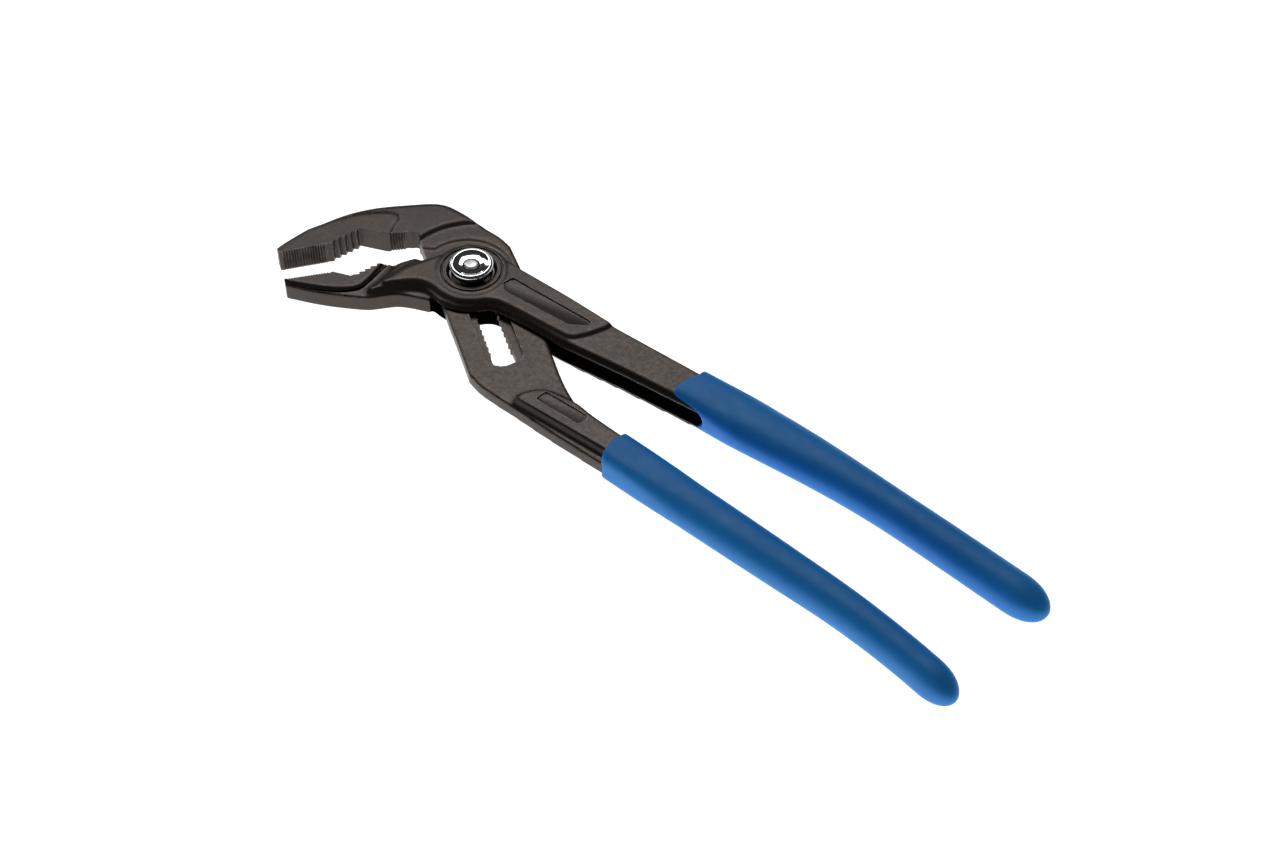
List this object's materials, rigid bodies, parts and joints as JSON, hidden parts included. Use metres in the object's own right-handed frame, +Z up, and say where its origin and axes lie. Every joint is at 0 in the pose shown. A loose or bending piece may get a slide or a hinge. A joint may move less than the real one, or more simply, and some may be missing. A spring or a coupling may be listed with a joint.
{
  "type": "push-button water pump pliers",
  "caption": "Tongue and groove pliers: two forged levers with toothed jaws, an adjusting slot locked by a push button, and dipped handle grips.",
  "frame": {"origin": "on the pivot's axis, at the bottom face of the pivot bolt's foot, where the tool lies on a bench", "axes": "+X from the jaws to the handle ends, +Z up out of the push button's face, +Y towards the box lever's handle"},
  "size_m": [0.2527, 0.064, 0.0148],
  "materials": {
    "forged_steel": "matte dark phosphate",
    "grip": "soft sheen, dipped vinyl",
    "bolt_steel": "turned",
    "pin_steel": "matte",
    "bright_button": "polished",
    "spring_steel": "drawn wire"
  },
  "bodies": {
    "box_side": {"box_lever": "forged_steel", "box_lever_grip": "grip", "retaining_ring": "bolt_steel"},
    "pivot": {"pivot_bolt": "bolt_steel", "centre_pin": "pin_steel", "button_spring": "spring_steel"},
    "button": {"push_button": "bright_button", "locking_key": "bolt_steel"},
    "slot_side": {"slotted_lever": "forged_steel", "slotted_lever_grip": "grip"}
  },
  "joints": [
    {"name": "jaw_pivot", "type": "hinge", "parent": "box_side", "child": "pivot", "pos_m": [0, 0, 0], "axis": [0, 0, 1], "range_deg": [-22, 2.5]},
    {"name": "button_press", "type": "slide", "parent": "pivot", "child": "button", "axis": [0, 0, -1], "range_m": [0, 0.0021], "stiffness_N_per_m": 1500, "deforming": ["button_spring"]},
    {"name": "slot_adjust", "type": "slide", "parent": "pivot", "child": "slot_side", "axis": [-0.8141, 0.5807, 0], "range_m": [-0.0072, 0.0216]}
  ]
}
